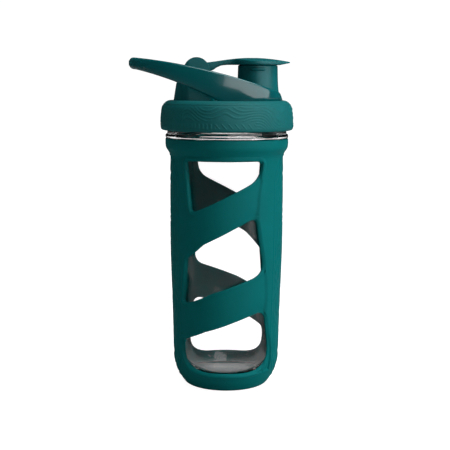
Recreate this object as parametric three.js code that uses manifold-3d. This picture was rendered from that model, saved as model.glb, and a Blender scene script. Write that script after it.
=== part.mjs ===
// Glass shaker-style water bottle: a borosilicate bottle in a silicone sleeve with slanted windows, closed by a
// screw lid that carries a drinking spout, a flip cap on a hinge tower and an oval carry loop.
// Millimetres, +Z up. The origin is on the bottle's axis, in the flat underside of the sleeve.
// The spout is on the +X side, the loop reaches out to -X, and the windows face -Y and +Y.
import * as THREE from "three";
import { mergeVertices } from "three/addons/utils/BufferGeometryUtils.js";
import Module from "manifold-3d";

const wasm = await Module();
wasm.setup();

// ---- Driving dimensions ------------------------------------------------------------------------------------
const ROUND_SIDES = 48; // facets of every turned piece on the bottle's axis
const FIT_GAP = 0.3; // between pieces that touch

const SLEEVE_WALL = 2.4;
const FOOT_RADIUS = 26.5; // flat underside of the sleeve
const FOOT_CORNER = 5.5; // small arc from the underside
const HEEL_ARC = 35; // long arc from the small one up to the wall
const HEEL_WALL_RADIUS = 38.3; // outside, at the top of the heel
const BODY_RADIUS = 40.6; // outside, from BODY_STRAIGHT_Z up to the shoulder
const BODY_STRAIGHT_Z = 103;
const SHOULDER_Z = 166.5;
const COLLAR_Z = 174.6;
const COLLAR_RADIUS = 44.35;
const SLEEVE_TOP_Z = 180.2;

const GLASS_WALL = 2.7;
const GLASS_FLOOR_Z = 8.5; // inside
const GLASS_FLOOR_RADIUS = 17.6; // flat part of the inside floor
const BEAD_RADIUS = 44.3; // glass ring that shows between sleeve and lid
const BEAD_TOP_Z = 183.2;
const NECK_FOOT_RADIUS = 43.0;
const NECK_FOOT_TOP_Z = 185.4;
const NECK_RADIUS = 40.3;
const MOUTH_RADIUS = 37.3;
const RIM_Z = 199.5;

const THREAD_PITCH = 5;
const THREAD_HEIGHT = 1.7; // how far the glass thread stands off the neck
const THREAD_START_Z = 188.4;
const GLASS_THREAD_TURNS = [0, 1.5];
const CAP_THREAD_TURNS = [0.375, 1.625];
const CAP_THREAD_DROP = 1.9; // the cap's thread runs this far under the glass one

const LID_BOTTOM_Z = 186;
const LID_RADIUS = 48;
const LID_TOP_Z = 207.3;
const GRIP_INNER_RADIUS = 45.7;
const GRIP_LIP_RADIUS = 41.3;
const CAP_THREAD_ROOT = 43.0;
const CAP_PLATE_UNDER_Z = 201.9;
const CAP_PLATE_TOP_Z = 204.4;
const CAP_RING = [34.6, 36.4, 196]; // inner ring that centres the gasket: inside, outside, lowest Z
const DECK_RADIUS = 41.0;
const DECK_TOP_Z = 206.5;

const SPOUT_X = 22;
const SPOUT_BORE = 11.4;
const SPOUT_TOP_RADIUS = 14.2;
const SPOUT_FOOT_RADIUS = 16;
const SPOUT_TOP_Z = 232.3;
const SPOUT_BEAD = { width: 10.4, height: 2.2, stand: 1.0, z: 229.3 };

const HINGE = { x: -21.6, z: 228.4 };
const EAR_RADIUS = 9.2;
const TOWER_HALF_WIDTH = 12.3;
const TOWER_LEFT_X = -38.5;
const TOWER_RIGHT_X = -9;
const TOWER_SLOT_HALF = 6.6;
const TOWER_SLOT_FLOOR_Z = 222;
const PIN_RADIUS = 1.5;
const PIN_CLEARANCE = 0.25;
const BARREL_RADIUS = 5.8;
const BARREL_HALF_WIDTH = 6.3;

const CAP_DISC_RADIUS = 17;
const CAP_UNDER_Z = 232.8;
const CAP_ARM_HALF = 5.5;
const CAP_TAB_HALF = 6;
const CAP_TIP_X = 45.1;
const PLUG = { outer: 10.9, inner: 8.4, bottomZ: 225.2 };

const LOOP_TIP_X = -70.4;
const LOOP_END_X = 39.8;
const LOOP_WIDEST_X = 8;
const LOOP_HALF_WIDTH = 27;
const LOOP_ROUNDNESS = 2.5; // exponent of the oval: 2 is an ellipse, and more is squarer
const LOOP_WALL = 4.8;

const GASKET = { inner: 36.8, outer: 41.4, topZ: 201.6 };

// ---- Solids and geometry -----------------------------------------------------------------------------------
function solidOf(geometry) {
  const bare = new THREE.BufferGeometry();
  bare.setAttribute("position", geometry.getAttribute("position"));
  if (geometry.index) bare.setIndex(geometry.index);
  const merged = mergeVertices(bare, 1e-3);
  return new wasm.Manifold(
    new wasm.Mesh({
      numProp: 3,
      vertProperties: merged.attributes.position.array,
      triVerts: new Uint32Array(merged.index.array),
    }),
  );
}

function geometryOf(solid) {
  const mesh = solid.getMesh();
  const geometry = new THREE.BufferGeometry();
  geometry.setAttribute("position", new THREE.BufferAttribute(mesh.vertProperties, 3));
  geometry.setIndex(new THREE.BufferAttribute(mesh.triVerts, 1));
  geometry.computeVertexNormals();
  return geometry;
}

// [radius, z] pairs, turned about the Z axis. They run anticlockwise in the half plane: out along the bottom,
// up the outside and back in along the top.
function turned(profile, sides = ROUND_SIDES) {
  const points = profile.map(([radius, z]) => new THREE.Vector2(radius, z));
  return new THREE.LatheGeometry(points, sides).rotateX(Math.PI / 2);
}

// Points on an arc in the half plane, from one angle to another, in degrees from the outward direction.
function arc(radius, z, size, from, to, steps = 6) {
  return Array.from({ length: steps + 1 }, (_, i) => {
    const angle = THREE.MathUtils.degToRad(from + ((to - from) * i) / steps);
    return [radius + size * Math.cos(angle), z + size * Math.sin(angle)];
  });
}

// A shape drawn in the XZ plane, made solid between two Y values.
function acrossY(shape, fromY, toY, curveSegments = 12) {
  const options = { depth: toY - fromY, bevelEnabled: false, curveSegments };
  return new THREE.ExtrudeGeometry(shape, options).rotateX(Math.PI / 2).translate(0, toY, 0);
}

// A shape drawn in the XY plane, made solid between two Z values.
function upZ(shape, fromZ, toZ, curveSegments = 12) {
  const options = { depth: toZ - fromZ, bevelEnabled: false, curveSegments };
  return new THREE.ExtrudeGeometry(shape, options).translate(0, 0, fromZ);
}

// A closed outline whose corners, [x, z, radius], are rounded.
function roundedOutline(corners) {
  const shape = new THREE.Shape();
  const at = (i) => new THREE.Vector2(...corners[(i + corners.length) % corners.length].slice(0, 2));
  corners.forEach(([, , radius], i) => {
    const corner = at(i);
    const back = at(i - 1).sub(corner).normalize();
    const ahead = at(i + 1).sub(corner).normalize();
    const half = Math.acos(THREE.MathUtils.clamp(back.dot(ahead), -1, 1)) / 2;
    const reach = radius / Math.tan(half);
    const start = corner.clone().addScaledVector(back, reach);
    const end = corner.clone().addScaledVector(ahead, reach);
    if (i === 0) shape.moveTo(start.x, start.y);
    else shape.lineTo(start.x, start.y);
    shape.quadraticCurveTo(corner.x, corner.y, end.x, end.y);
  });
  shape.closePath();
  return shape;
}

// A helical ridge of trapezium section on the bottle's axis. side is 1 for a ridge that stands outwards from
// radius and -1 for one that stands inwards. Its height fades out over the first and last eighth of a turn.
function threadRidge(radius, side, turns, startZ) {
  const perTurn = 32;
  const rootHalf = 1.1;
  const crestHalf = 0.5;
  const buried = 0.5;
  const first = turns[0] * perTurn;
  const last = turns[1] * perTurn;
  const positions = [];
  for (let i = first; i <= last; i++) {
    const angle = (2 * Math.PI * i) / perTurn;
    const z = startZ + (THREAD_PITCH * i) / perTurn;
    const fade = Math.min(1, (i - first + 1) / 4, (last - i + 1) / 4);
    const crest = radius + side * THREAD_HEIGHT * fade;
    const section = [
      [radius - side * buried, z - rootHalf],
      [crest, z - crestHalf * fade],
      [crest, z + crestHalf * fade],
      [radius - side * buried, z + rootHalf],
    ];
    for (const [r, height] of section) positions.push(r * Math.cos(angle), r * Math.sin(angle), height);
  }
  const index = [];
  const sections = last - first + 1;
  for (let i = 0; i < sections - 1; i++) {
    for (let k = 0; k < 4; k++) {
      const a = 4 * i + k;
      const b = 4 * i + ((k + 1) % 4);
      index.push(a, a + 4, b, b, a + 4, b + 4);
    }
  }
  const end = 4 * (sections - 1);
  index.push(0, 1, 2, 0, 2, 3, end, end + 2, end + 1, end, end + 3, end + 2);
  const faces = side > 0 ? index : flipped(index);
  const geometry = new THREE.BufferGeometry();
  geometry.setAttribute("position", new THREE.Float32BufferAttribute(positions, 3));
  geometry.setIndex(faces);
  return geometry;
}

function flipped(index) {
  const faces = [];
  for (let i = 0; i < index.length; i += 3) faces.push(index[i], index[i + 2], index[i + 1]);
  return faces;
}

// ---- The wall line that sleeve and glass share ---------------------------------------------------------------
// Outside of the sleeve, moved inwards by inset, from the flat underside up to the collar's top.
function wallLine(inset, topZ) {
  const heelCentre = HEEL_WALL_RADIUS - HEEL_ARC;
  const heelZ = FOOT_CORNER + Math.sqrt((HEEL_ARC - FOOT_CORNER) ** 2 - (FOOT_RADIUS - heelCentre) ** 2);
  const join = THREE.MathUtils.radToDeg(Math.atan2(FOOT_CORNER - heelZ, FOOT_RADIUS - heelCentre));
  return [
    ...arc(FOOT_RADIUS, FOOT_CORNER, FOOT_CORNER - inset, -90, join, 3),
    ...arc(heelCentre, heelZ, HEEL_ARC - inset, join, 0, 5).slice(1),
    [38.9 - inset, 52],
    [39.9 - inset, 80],
    [BODY_RADIUS - inset, BODY_STRAIGHT_Z],
    [BODY_RADIUS - inset, SHOULDER_Z],
    [BODY_RADIUS + 1.1 - inset, 170],
    [COLLAR_RADIUS - 0.6 - inset, 173],
    [COLLAR_RADIUS - inset, COLLAR_Z],
    [COLLAR_RADIUS - inset, topZ],
  ];
}

// ---- Silicone sleeve -----------------------------------------------------------------------------------------
// Three windows on the front and the same three turned half round for the back.
const WINDOWS = {
  upper: [
    [-26.8, 165.3, 1.5],
    [-23.1, 128.4, 2.6],
    [22.6, 152.6, 16],
    [23.9, 165.3, 1.5],
  ],
  middle: [
    [20, 126.4, 3.6],
    [-15.6, 107.2, 10],
    [-26.6, 96.6, 2.5],
    [-29.2, 62.6, 2.6],
    [-9.1, 72.7, 12],
    [26.3, 85.8, 11],
  ],
  lower: [
    [26.2, 59.4, 5.5],
    [-13.9, 44.8, 12],
    [-29, 36.9, 4],
    [-30.6, 13.7, 19],
    [31, 13.7, 18],
  ],
};

function siliconeSleeve() {
  const outer = wallLine(0, SLEEVE_TOP_Z);
  const inner = wallLine(SLEEVE_WALL, SLEEVE_TOP_Z).reverse();
  let sleeve = solidOf(turned([[0, 0], ...outer, ...inner, [0, SLEEVE_WALL]]));
  for (const corners of Object.values(WINDOWS)) {
    const cutter = solidOf(acrossY(roundedOutline(corners), -60, -10, 5));
    sleeve = sleeve.subtract(cutter).subtract(cutter.rotate([0, 0, 180]));
  }
  return geometryOf(sleeve);
}

// ---- Glass bottle --------------------------------------------------------------------------------------------
function glassBottle() {
  const outside = wallLine(SLEEVE_WALL + FIT_GAP, SLEEVE_TOP_Z + FIT_GAP);
  const innerWall = BODY_RADIUS - SLEEVE_WALL - FIT_GAP - GLASS_WALL;
  const heelRadius = 33 - GLASS_FLOOR_RADIUS;
  const profile = [
    [0, SLEEVE_WALL + FIT_GAP],
    ...outside,
    [BEAD_RADIUS - 0.8, SLEEVE_TOP_Z + FIT_GAP],
    [BEAD_RADIUS, SLEEVE_TOP_Z + FIT_GAP + 0.9],
    [BEAD_RADIUS, BEAD_TOP_Z - 0.9],
    [BEAD_RADIUS - 0.8, BEAD_TOP_Z],
    [NECK_FOOT_RADIUS, NECK_FOOT_TOP_Z - 0.8],
    [NECK_FOOT_RADIUS - 0.8, NECK_FOOT_TOP_Z],
    [NECK_RADIUS, NECK_FOOT_TOP_Z + 0.6],
    [NECK_RADIUS, RIM_Z - 0.8],
    [NECK_RADIUS - 0.8, RIM_Z],
    [MOUTH_RADIUS + 0.8, RIM_Z],
    [MOUTH_RADIUS, RIM_Z - 0.8],
    [MOUTH_RADIUS, COLLAR_Z],
    [innerWall, SHOULDER_Z - 1],
    [innerWall, BODY_STRAIGHT_Z],
    [innerWall - 1, 70],
    [innerWall - 1.8, 42],
    ...arc(GLASS_FLOOR_RADIUS, GLASS_FLOOR_Z + heelRadius, heelRadius, 0, -90, 5),
    [0, GLASS_FLOOR_Z],
  ];
  const thread = solidOf(threadRidge(NECK_RADIUS, 1, GLASS_THREAD_TURNS, THREAD_START_Z));
  return geometryOf(solidOf(turned(profile)).add(thread));
}

// ---- Screw lid -----------------------------------------------------------------------------------------------
function screwCap() {
  const outside = GRIP_INNER_RADIUS - FIT_GAP;
  const [ringInner, ringOuter, ringZ] = CAP_RING;
  const bottom = LID_BOTTOM_Z + 0.4;
  const profile = [
    [CAP_THREAD_ROOT, bottom],
    [outside, bottom],
    [outside, CAP_PLATE_TOP_Z],
    [0, CAP_PLATE_TOP_Z],
    [0, CAP_PLATE_UNDER_Z],
    [ringInner, CAP_PLATE_UNDER_Z],
    [ringInner, ringZ],
    [ringOuter, ringZ],
    [ringOuter, CAP_PLATE_UNDER_Z],
    [CAP_THREAD_ROOT, CAP_PLATE_UNDER_Z],
    [CAP_THREAD_ROOT, bottom],
  ];
  const thread = threadRidge(CAP_THREAD_ROOT, -1, CAP_THREAD_TURNS, THREAD_START_Z - CAP_THREAD_DROP);
  const bore = new THREE.CylinderGeometry(SPOUT_BORE, SPOUT_BORE, 20, 32).rotateX(Math.PI / 2);
  bore.translate(SPOUT_X, 0, CAP_PLATE_TOP_Z);
  return geometryOf(solidOf(turned(profile)).add(solidOf(thread)).subtract(solidOf(bore)));
}

function lidGripRing() {
  const lipUnder = CAP_PLATE_TOP_Z + FIT_GAP;
  return turned([
    [GRIP_INNER_RADIUS, LID_BOTTOM_Z + 0.3],
    [GRIP_INNER_RADIUS + 0.3, LID_BOTTOM_Z],
    [LID_RADIUS - 1.6, LID_BOTTOM_Z + 0.2],
    [LID_RADIUS - 0.4, LID_BOTTOM_Z + 1.3],
    [LID_RADIUS, LID_BOTTOM_Z + 3],
    [LID_RADIUS, LID_BOTTOM_Z + 8],
    [LID_RADIUS - 0.4, LID_BOTTOM_Z + 13],
    ...arc(LID_RADIUS - 5.9, LID_TOP_Z - 5.2, 5.2, 8, 90, 5),
    [GRIP_LIP_RADIUS, LID_TOP_Z],
    [GRIP_LIP_RADIUS, lipUnder],
    [GRIP_INNER_RADIUS, lipUnder],
    [GRIP_INNER_RADIUS, LID_BOTTOM_Z + 0.3],
  ]);
}

function lidGasket() {
  return turned([
    [GASKET.inner, RIM_Z + FIT_GAP],
    [GASKET.outer, RIM_Z + FIT_GAP],
    [GASKET.outer, GASKET.topZ],
    [GASKET.inner, GASKET.topZ],
    [GASKET.inner, RIM_Z + FIT_GAP],
  ]);
}

// ---- Deck with the drinking spout and the hinge tower --------------------------------------------------------
function hingeTower() {
  const side = new THREE.Shape();
  side.moveTo(TOWER_LEFT_X - 0.1, DECK_TOP_Z - 1);
  side.lineTo(TOWER_RIGHT_X + 0.1, DECK_TOP_Z - 1);
  side.lineTo(HINGE.x + EAR_RADIUS, HINGE.z);
  side.absarc(HINGE.x, HINGE.z, EAR_RADIUS, 0, THREE.MathUtils.degToRad(152), false);
  side.lineTo(-36.2, 219);
  side.closePath();
  const roundX = TOWER_LEFT_X + TOWER_HALF_WIDTH;
  const corner = 4;
  const flatX = TOWER_RIGHT_X - corner;
  const plan = new THREE.Shape();
  plan.absarc(flatX, corner - TOWER_HALF_WIDTH, corner, -Math.PI / 2, 0, false);
  plan.absarc(flatX, TOWER_HALF_WIDTH - corner, corner, 0, Math.PI / 2, false);
  plan.absarc(roundX, 0, TOWER_HALF_WIDTH, Math.PI / 2, (3 * Math.PI) / 2, false);
  plan.closePath();
  const slot = new THREE.BoxGeometry(60, 2 * TOWER_SLOT_HALF, 30);
  slot.translate(HINGE.x, 0, TOWER_SLOT_FLOOR_Z + 15);
  const bore = new THREE.CylinderGeometry(PIN_RADIUS + PIN_CLEARANCE, PIN_RADIUS + PIN_CLEARANCE, 30, 20);
  bore.translate(HINGE.x, 0, HINGE.z);
  return solidOf(acrossY(side, -TOWER_HALF_WIDTH - 1, TOWER_HALF_WIDTH + 1, 10))
    .intersect(solidOf(upZ(plan, DECK_TOP_Z - 2, 245, 12)))
    .subtract(solidOf(slot))
    .subtract(solidOf(bore));
}

function spoutDeck() {
  const under = CAP_PLATE_TOP_Z + FIT_GAP;
  const deck = new THREE.CylinderGeometry(DECK_RADIUS, DECK_RADIUS, DECK_TOP_Z - under, ROUND_SIDES);
  deck.rotateX(Math.PI / 2).translate(0, 0, (DECK_TOP_Z + under) / 2);
  const spout = turned(
    [
      [0, DECK_TOP_Z - 1],
      [SPOUT_FOOT_RADIUS, DECK_TOP_Z - 1],
      [SPOUT_TOP_RADIUS + 0.4, 217.5],
      [SPOUT_TOP_RADIUS, SPOUT_TOP_Z - 0.7],
      [SPOUT_TOP_RADIUS - 0.7, SPOUT_TOP_Z],
      [0, SPOUT_TOP_Z],
    ],
    40,
  ).translate(SPOUT_X, 0, 0);
  const bore = new THREE.CylinderGeometry(SPOUT_BORE, SPOUT_BORE, 60, 32).rotateX(Math.PI / 2);
  bore.translate(SPOUT_X, 0, SPOUT_TOP_Z - 10);
  const { width, height, stand, z } = SPOUT_BEAD;
  const bead = new THREE.BoxGeometry(width, 2 * (SPOUT_TOP_RADIUS + stand), height).translate(SPOUT_X, 0, z);
  return geometryOf(
    solidOf(deck).add(solidOf(spout)).add(solidOf(bead)).add(hingeTower()).subtract(solidOf(bore)),
  );
}

function hingePin() {
  const length = 2 * TOWER_HALF_WIDTH - 1;
  return new THREE.CylinderGeometry(PIN_RADIUS, PIN_RADIUS, length, 16).translate(HINGE.x, 0, HINGE.z);
}

// ---- Carry loop ----------------------------------------------------------------------------------------------
// Its plan is a full oval, widest beside the spout and longer towards the free tip. Seen from the side it slopes
// down from the tip to the deck.
function loopPlan(PathType, inset) {
  const steps = 96;
  const raised = (value, power) => Math.sign(value) * Math.abs(value) ** power;
  const points = Array.from({ length: steps }, (_, i) => {
    const angle = (2 * Math.PI * i) / steps;
    const reach = Math.cos(angle) > 0 ? LOOP_END_X - LOOP_WIDEST_X : LOOP_WIDEST_X - LOOP_TIP_X;
    const across = raised(Math.cos(angle), 2 / LOOP_ROUNDNESS);
    const up = raised(Math.sin(angle), 2 / LOOP_ROUNDNESS);
    const outward = new THREE.Vector2(
      raised(across, LOOP_ROUNDNESS - 1) / reach,
      raised(up, LOOP_ROUNDNESS - 1) / LOOP_HALF_WIDTH,
    ).normalize();
    return new THREE.Vector2(LOOP_WIDEST_X + reach * across, LOOP_HALF_WIDTH * up).addScaledVector(outward, -inset);
  });
  return new PathType(points);
}

function carryLoop() {
  const plan = loopPlan(THREE.Shape, 0);
  plan.holes.push(loopPlan(THREE.Path, LOOP_WALL));
  const foot = DECK_TOP_Z + FIT_GAP;
  const side = new THREE.Shape();
  side.moveTo(-66, 237.3);
  side.quadraticCurveTo(-70, 237, LOOP_TIP_X - 0.1, 232);
  side.quadraticCurveTo(LOOP_TIP_X, 229.6, -68, 229.4);
  side.lineTo(-64.6, 228.8);
  side.quadraticCurveTo(-34.6, 221.8, -6, foot);
  side.lineTo(LOOP_END_X + 0.1, foot);
  side.quadraticCurveTo(39.6, 211, 36.5, 213.6);
  side.quadraticCurveTo(-13.1, 231.8, -66, 237.3);
  const spoutRoom = new THREE.CylinderGeometry(
    SPOUT_FOOT_RADIUS + FIT_GAP,
    SPOUT_FOOT_RADIUS + FIT_GAP,
    60,
    40,
  ).rotateX(Math.PI / 2);
  spoutRoom.translate(SPOUT_X, 0, DECK_TOP_Z + 20);
  return geometryOf(
    solidOf(acrossY(side, -40, 40, 12)).intersect(solidOf(upZ(plan, 200, 245))).subtract(solidOf(spoutRoom)),
  );
}

// ---- Flip cap ------------------------------------------------------------------------------------------------
function flipCap() {
  const side = new THREE.Shape();
  side.moveTo(CAP_TIP_X, 234.8);
  side.lineTo(CAP_TIP_X, 234.1);
  side.lineTo(38, CAP_UNDER_Z);
  side.lineTo(4, CAP_UNDER_Z);
  side.quadraticCurveTo(-6, 232.6, -10, 228.8);
  side.lineTo(HINGE.x, HINGE.z - 3);
  side.lineTo(HINGE.x, HINGE.z + BARREL_RADIUS - 0.1);
  side.lineTo(-15, 234);
  side.quadraticCurveTo(2, 237.2, SPOUT_X, 237.4);
  side.quadraticCurveTo(36, 237.2, CAP_TIP_X, 234.8);

  const disc = new THREE.CylinderGeometry(CAP_DISC_RADIUS, CAP_DISC_RADIUS, 40, 40).rotateX(Math.PI / 2);
  disc.translate(SPOUT_X, 0, HINGE.z);
  const arm = new THREE.BoxGeometry(SPOUT_X - HINGE.x, 2 * CAP_ARM_HALF, 40);
  arm.translate((SPOUT_X + HINGE.x) / 2, 0, HINGE.z);
  const tab = new THREE.Shape();
  tab.moveTo(SPOUT_X, -14);
  tab.quadraticCurveTo(36, -11, 42, -CAP_TAB_HALF);
  tab.quadraticCurveTo(CAP_TIP_X, -3, CAP_TIP_X, 0);
  tab.quadraticCurveTo(CAP_TIP_X, 3, 42, CAP_TAB_HALF);
  tab.quadraticCurveTo(36, 11, SPOUT_X, 14);
  const plan = solidOf(disc).add(solidOf(arm)).add(solidOf(upZ(tab, 210, 250, 4)));

  const barrel = new THREE.CylinderGeometry(BARREL_RADIUS, BARREL_RADIUS, 2 * BARREL_HALF_WIDTH, 28);
  barrel.translate(HINGE.x, 0, HINGE.z);
  const bore = new THREE.CylinderGeometry(PIN_RADIUS + PIN_CLEARANCE, PIN_RADIUS + PIN_CLEARANCE, 30, 20);
  bore.translate(HINGE.x, 0, HINGE.z);
  return geometryOf(
    solidOf(acrossY(side, -30, 30, 8)).intersect(plan).add(solidOf(barrel)).subtract(solidOf(bore)),
  );
}

// Soft plug under the flip cap: a disc with a skirt that tapers into the spout.
function spoutPlug() {
  const top = CAP_UNDER_Z - FIT_GAP;
  return turned(
    [
      [0, top - 1.6],
      [PLUG.inner, top - 1.6],
      [PLUG.inner, PLUG.bottomZ],
      [PLUG.outer - 0.8, PLUG.bottomZ],
      [PLUG.outer, PLUG.bottomZ + 2],
      [PLUG.outer - 0.3, top],
      [0, top],
    ],
    32,
  ).translate(SPOUT_X, 0, 0);
}

// ---- Assembly ------------------------------------------------------------------------------------------------
const clearGlass = new THREE.MeshStandardMaterial({
  color: 0xdfe6e4,
  roughness: 0.03,
  metalness: 0,
  transparent: true,
  opacity: 0.35,
});
const tealSilicone = new THREE.MeshStandardMaterial({ color: 0x055a5c, roughness: 0.6, metalness: 0 });
const tealGrip = new THREE.MeshStandardMaterial({ color: 0x0a6464, roughness: 0.65, metalness: 0 });
const satinTeal = new THREE.MeshStandardMaterial({ color: 0x065558, roughness: 0.4, metalness: 0 });
const glossTeal = new THREE.MeshStandardMaterial({ color: 0x054a4e, roughness: 0.12, metalness: 0 });
const clearSilicone = new THREE.MeshStandardMaterial({ color: 0xcdd6d4, roughness: 0.5, metalness: 0 });
const steel = new THREE.MeshStandardMaterial({ color: 0xb9bcbd, roughness: 0.3, metalness: 1 });

function piece(name, geometry, material) {
  const mesh = new THREE.Mesh(geometry, material);
  mesh.name = name;
  return mesh;
}

const vessel = new THREE.Group();
vessel.add(piece("glass_bottle", glassBottle(), clearGlass));
vessel.add(piece("silicone_sleeve", siliconeSleeve(), tealSilicone));

const lid = new THREE.Group();
lid.add(piece("lid_gasket", lidGasket(), clearSilicone));
lid.add(piece("screw_cap", screwCap(), satinTeal));
lid.add(piece("lid_grip_ring", lidGripRing(), tealGrip));
lid.add(piece("spout_deck", spoutDeck(), satinTeal));
lid.add(piece("carry_loop", carryLoop(), glossTeal));
lid.add(piece("hinge_pin", hingePin(), steel));

const flipCapGroup = new THREE.Group();
flipCapGroup.add(piece("flip_cap", flipCap(), satinTeal));
flipCapGroup.add(piece("spout_plug", spoutPlug(), clearSilicone));
lid.add(flipCapGroup);

const bottle = new THREE.Group();
bottle.add(vessel, lid);

export default bottle;
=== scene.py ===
import math

import bmesh
import bpy
import numpy as np
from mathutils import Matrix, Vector, noise
from mathutils.geometry import delaunay_2d_cdt


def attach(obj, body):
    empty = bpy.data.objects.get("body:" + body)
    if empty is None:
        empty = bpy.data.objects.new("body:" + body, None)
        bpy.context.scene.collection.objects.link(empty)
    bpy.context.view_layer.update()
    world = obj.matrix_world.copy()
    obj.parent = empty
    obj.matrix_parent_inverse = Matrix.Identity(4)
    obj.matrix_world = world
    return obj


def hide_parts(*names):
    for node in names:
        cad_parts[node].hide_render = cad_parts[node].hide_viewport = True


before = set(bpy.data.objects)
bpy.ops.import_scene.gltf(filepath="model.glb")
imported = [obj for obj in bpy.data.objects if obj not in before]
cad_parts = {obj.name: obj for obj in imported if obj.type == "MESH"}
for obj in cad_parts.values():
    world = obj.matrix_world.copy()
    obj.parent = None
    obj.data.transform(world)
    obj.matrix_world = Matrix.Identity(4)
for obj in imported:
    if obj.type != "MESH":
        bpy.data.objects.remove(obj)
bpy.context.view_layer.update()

MM = 0.001


# ---- Camera ------------------------------------------------------------------------------------------------
# A long lens a little above the lid looks slightly down at the middle of the bottle, with the windows facing
# it. It leans by a quarter of a degree.
camera_data = bpy.data.cameras.new("camera")
camera_data.sensor_width = 36
camera_data.lens = 86.4
camera_data.shift_x = -0.0032
camera = bpy.data.objects.new("camera", camera_data)
bpy.context.collection.objects.link(camera)
camera.location = (0, -0.7824, 0.2189)
look_at = Vector((0, 0, 0.1167))
camera.rotation_euler = (look_at - camera.location).to_track_quat("-Z", "Y").to_euler()
camera.rotation_euler.rotate_axis("Z", math.radians(0.25))
bpy.context.scene.camera = camera


# ---- Studio ------------------------------------------------------------------------------------------------
# A white floor and white surroundings, a tall soft box on the right and a small fill, so the left side falls
# dark. A wide panel in front on the right and a soft box above give the gloss parts their highlights.
def linear(hex_colour):
    """The linear colour of an sRGB hex value such as 06646a."""
    parts = [int(hex_colour[i : i + 2], 16) / 255 for i in (0, 2, 4)]
    return [c / 12.92 if c <= 0.04045 else ((c + 0.055) / 1.055) ** 2.4 for c in parts] + [1]


def add_node(tree, kind, settings=None, links=None):
    """A node of that kind, with its settings, its inputs by name or number, and links from other sockets."""
    made = tree.nodes.new(kind)
    for key, value in (settings or {}).items():
        if hasattr(made, str(key)):
            setattr(made, key, value)
        else:
            made.inputs[key].default_value = value
    for key, source in (links or {}).items():
        tree.links.new(source, made.inputs[key])
    return made


def new_material(name):
    """An empty node material, with its tree and its output."""
    material = bpy.data.materials.new(name)
    material.use_nodes = True
    material.node_tree.nodes.clear()
    output = material.node_tree.nodes.new("ShaderNodeOutputMaterial")
    return material, material.node_tree, output


def math_node(tree, operation, first, second):
    """A maths node's output, for two inputs that are sockets or numbers."""
    both = {0: first, 1: second}
    numbers = {key: value for key, value in both.items() if isinstance(value, (int, float))}
    sockets = {key: value for key, value in both.items() if key not in numbers}
    return add_node(tree, "ShaderNodeMath", {"operation": operation, **numbers}, sockets).outputs[0]


def seen_directly(tree):
    """1 for what is looked at straight or through clear glass, and 0 for what lights other surfaces."""
    path = add_node(tree, "ShaderNodeLightPath")
    bounces = math_node(tree, "ADD", path.outputs["Diffuse Depth"], path.outputs["Glossy Depth"])
    return math_node(tree, "LESS_THAN", bounces, 0.5)


def soft_box(name, size, power, location, target):
    """An area light that faces target."""
    light = bpy.data.lights.new(name, "AREA")
    light.shape = "RECTANGLE"
    light.size, light.size_y = size
    light.energy = power
    lamp = bpy.data.objects.new(name, light)
    bpy.context.collection.objects.link(lamp)
    lamp.location = location
    lamp.rotation_euler = (Vector(target) - lamp.location).to_track_quat("-Z", "Y").to_euler()
    return lamp


# The surroundings are white where they are looked at, and behind the bottle for rays that go through the
# glass. They are a weak fill for what they light, and almost dark in all other reflections.
WHITE_LEVEL, FILL_LEVEL, DIM_LEVEL = 1.05, 0.13, 0.03

world = bpy.data.worlds.new("studio")
bpy.context.scene.world = world
world.use_nodes = True
tree = world.node_tree
tree.nodes.clear()
path = add_node(tree, "ShaderNodeLightPath")
sky_direction = add_node(tree, "ShaderNodeTexCoord").outputs["Generated"]
heading = add_node(tree, "ShaderNodeSeparateXYZ", links={0: sky_direction})
behind = math_node(tree, "GREATER_THAN", heading.outputs["Y"], 0.3)
inside_glass = math_node(tree, "GREATER_THAN", path.outputs["Transmission Depth"], 0.5)
no_diffuse = math_node(tree, "LESS_THAN", path.outputs["Diffuse Depth"], 0.5)
mirrored_wall = math_node(tree, "MULTIPLY", math_node(tree, "MULTIPLY", behind, inside_glass), no_diffuse)
white_wall = math_node(tree, "MAXIMUM", mirrored_wall, seen_directly(tree))
soft_fill = math_node(tree, "MULTIPLY", math_node(tree, "SUBTRACT", 1.0, no_diffuse), FILL_LEVEL)
dim_room = math_node(tree, "MAXIMUM", soft_fill, DIM_LEVEL)
world_level = math_node(tree, "MAXIMUM", math_node(tree, "MULTIPLY", white_wall, WHITE_LEVEL), dim_room)
world_white = add_node(tree, "ShaderNodeBackground", {"Color": linear("ffffff")}, {"Strength": world_level})
add_node(tree, "ShaderNodeOutputWorld", links={0: world_white.outputs[0]})

# The floor is grey paint that glows white where it is looked at, and a little less near the bottle as a painted
# shadow.
floor_material, tree, output = new_material("white painted floor")
floor_paint = add_node(tree, "ShaderNodeBsdfDiffuse", {"Color": linear("b4b4b4")})
floor_place = add_node(tree, "ShaderNodeTexCoord").outputs["Object"]
floor_distance = add_node(tree, "ShaderNodeVectorMath", {"operation": "LENGTH"}, {0: floor_place})
# Painted shadow: the floor's glow falls off towards the bottle.
floor_glow_with_painted_shadow = add_node(
    tree,
    "ShaderNodeMapRange",
    {"From Min": 0.06, "From Max": 0.4, "To Min": 0.95, "To Max": WHITE_LEVEL},
    {"Value": floor_distance.outputs["Value"]},
)
floor_glow_level = math_node(tree, "MULTIPLY", seen_directly(tree), floor_glow_with_painted_shadow.outputs[0])
floor_glow = add_node(tree, "ShaderNodeEmission", {"Color": linear("ffffff")}, {"Strength": floor_glow_level})
floor_shader = add_node(tree, "ShaderNodeAddShader", links={0: floor_paint.outputs[0], 1: floor_glow.outputs[0]})
tree.links.new(floor_shader.outputs[0], output.inputs["Surface"])

bpy.ops.mesh.primitive_circle_add(vertices=96, radius=8, fill_type="NGON", location=(0, 0, -0.0002))
floor = bpy.context.object
floor.name = "floor"
floor.data.materials.append(floor_material)

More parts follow.
